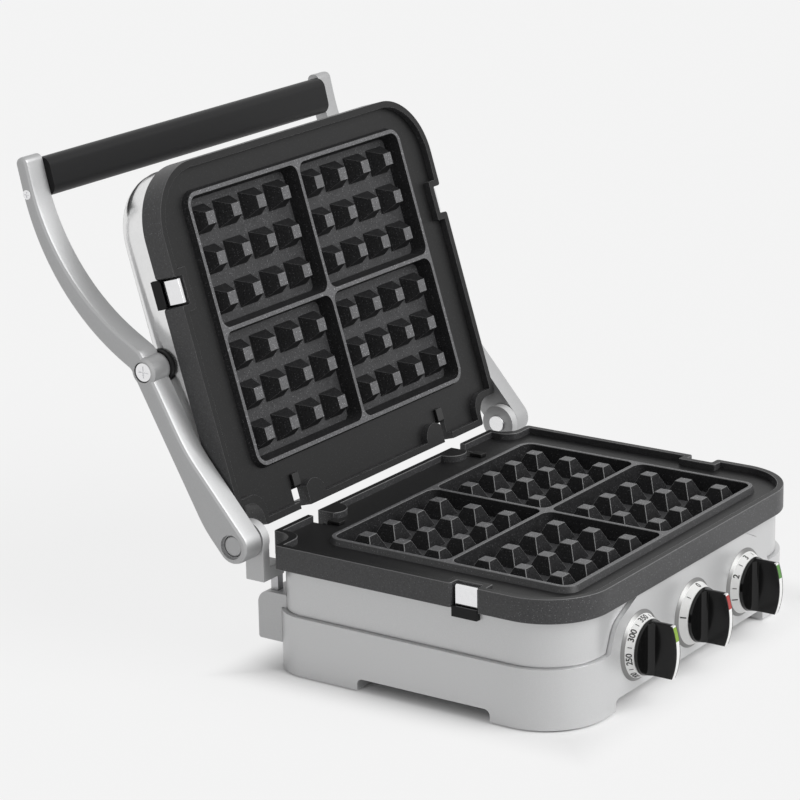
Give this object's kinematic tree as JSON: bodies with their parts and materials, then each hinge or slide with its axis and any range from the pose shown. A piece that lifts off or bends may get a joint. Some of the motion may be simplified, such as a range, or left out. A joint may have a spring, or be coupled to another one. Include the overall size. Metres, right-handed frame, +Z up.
{
  "type": "waffle maker",
  "caption": "Countertop waffle maker standing open: silver base with three control knobs, dark studded plates, and a polished lid on cast arms with a black bar handle.",
  "frame": {"origin": "under the middle of the whole part as it stands open, on the table plane", "axes": "+X to the right seen from the control panel, +Y from the front to the back, +Z up"},
  "size_m": [0.3426, 0.4401, 0.327],
  "materials": {
    "silver_paint": "satin silver paint",
    "nonstick": "cast aluminium with a dark speckled non-stick coating",
    "polished_steel": "polished sheet",
    "cast_silver": "satin cast silver",
    "hinge_grey": "matte light grey",
    "bright_chrome": "bright plated",
    "dark_steel": "blackened steel",
    "plain_steel": "plain steel",
    "pan_aluminium": "rolled sheet",
    "grip_black": "dark satin",
    "knob_black": "gloss black",
    "dial_white": "white print face",
    "control_plastic": "moulded black",
    "terminal_plastic": "ivory moulding",
    "foot_rubber": "matte rubber"
  },
  "bodies": {
    "base": {"lower_case": "silver_paint", "upper_case": "silver_paint", "bottom_cover": "plain_steel", "rubber_feet": "foot_rubber", "base_screws": "plain_steel", "lower_waffle_plate": "nonstick", "lower_heating_element": "plain_steel", "lower_reflector": "pan_aluminium", "lower_heater_clamps": "plain_steel", "lower_plate_hooks": "dark_steel", "lower_clip_pockets": "grip_black", "lower_clip_pins": "plain_steel", "lower_clip_springs": "plain_steel", "thermostat_left": "control_plastic", "thermostat_right": "control_plastic", "selector_switch": "control_plastic", "terminal_block": "terminal_plastic", "cord_gland": "grip_black", "dial_ring_left": "dial_white", "dial_ring_middle": "dial_white", "dial_ring_right": "dial_white", "hinge_tower_left": "hinge_grey", "hinge_tower_right": "hinge_grey"},
    "carriage": {"hinge_bracket_left": "hinge_grey", "hinge_bracket_right": "hinge_grey", "hinge_posts": "plain_steel", "hinge_pins": "bright_chrome"},
    "arms": {"arm_left": "cast_silver", "arm_right": "cast_silver", "handle_grip": "grip_black", "handle_core": "plain_steel", "handle_screws": "bright_chrome", "hinge_caps": "bright_chrome", "lid_pivot_screws": "bright_chrome"},
    "lid": {"lid_cover": "polished_steel", "lid_frame": "hinge_grey", "lid_screws": "plain_steel", "lid_pivot_bushes": "grip_black", "upper_waffle_plate": "nonstick", "upper_heating_element": "plain_steel", "upper_reflector": "pan_aluminium", "upper_heater_clamps": "plain_steel", "upper_plate_hooks": "dark_steel", "upper_clip_pockets": "grip_black", "upper_clip_pins": "plain_steel", "upper_clip_springs": "plain_steel"},
    "knob_body_left": {"knob_left": "knob_black", "knob_strip_left": "dial_white", "knob_shaft_left": "plain_steel"},
    "knob_body_middle": {"knob_middle": "knob_black", "knob_strip_middle": "dial_white", "knob_shaft_middle": "plain_steel"},
    "knob_body_right": {"knob_right": "knob_black", "knob_strip_right": "dial_white", "knob_shaft_right": "plain_steel"},
    "lower_clip_body_left": {"lower_clip_left": "bright_chrome"},
    "lower_clip_body_right": {"lower_clip_right": "bright_chrome"},
    "upper_clip_body_left": {"upper_clip_left": "bright_chrome"},
    "upper_clip_body_right": {"upper_clip_right": "bright_chrome"}
  },
  "joints": [
    {"name": "hinge_lift", "type": "slide", "parent": "base", "child": "carriage", "axis": [0, 0, 1], "range_m": [0, 0.014]},
    {"name": "arm_hinge", "type": "hinge", "parent": "carriage", "child": "arms", "pos_m": [0, 0.05239, 0.0883], "axis": [1, 0, 0], "range_deg": [-70, 106.9]},
    {"name": "lid_tilt", "type": "hinge", "parent": "arms", "child": "lid", "pos_m": [0, 0.12002, 0.19547], "axis": [1, 0, 0], "range_deg": [-5, 0]},
    {"name": "knob_turn_left", "type": "hinge", "parent": "base", "child": "knob_body_left", "pos_m": [-0.0685, -0.19221, 0.037], "axis": [0, -1, 0], "range_deg": [-150, 150]},
    {"name": "knob_turn_middle", "type": "hinge", "parent": "base", "child": "knob_body_middle", "pos_m": [0, -0.19221, 0.037], "axis": [0, -1, 0], "range_deg": [-70, 70]},
    {"name": "knob_turn_right", "type": "hinge", "parent": "base", "child": "knob_body_right", "pos_m": [0.0685, -0.19221, 0.037], "axis": [0, -1, 0], "range_deg": [-150, 150]},
    {"name": "lower_clip_swing_left", "type": "hinge", "parent": "base", "child": "lower_clip_body_left", "pos_m": [-0.1459, -0.11481, 0.07], "axis": [0, -1, 0], "range_deg": [0, 8], "stiffness_Nm_per_rad": 0.1},
    {"name": "upper_clip_swing_left", "type": "hinge", "parent": "lid", "child": "upper_clip_body_left", "pos_m": [-0.1459, 0.11913, 0.24277], "axis": [0, -0.2907, -0.9568], "range_deg": [0, 8], "stiffness_Nm_per_rad": 0.1},
    {"name": "lower_clip_swing_right", "type": "hinge", "parent": "base", "child": "lower_clip_body_right", "pos_m": [0.1459, -0.11481, 0.07], "axis": [0, 1, 0], "range_deg": [0, 8], "stiffness_Nm_per_rad": 0.1},
    {"name": "upper_clip_swing_right", "type": "hinge", "parent": "lid", "child": "upper_clip_body_right", "pos_m": [0.1459, 0.11913, 0.24277], "axis": [0, 0.2907, 0.9568], "range_deg": [0, 8], "stiffness_Nm_per_rad": 0.1}
  ]
}
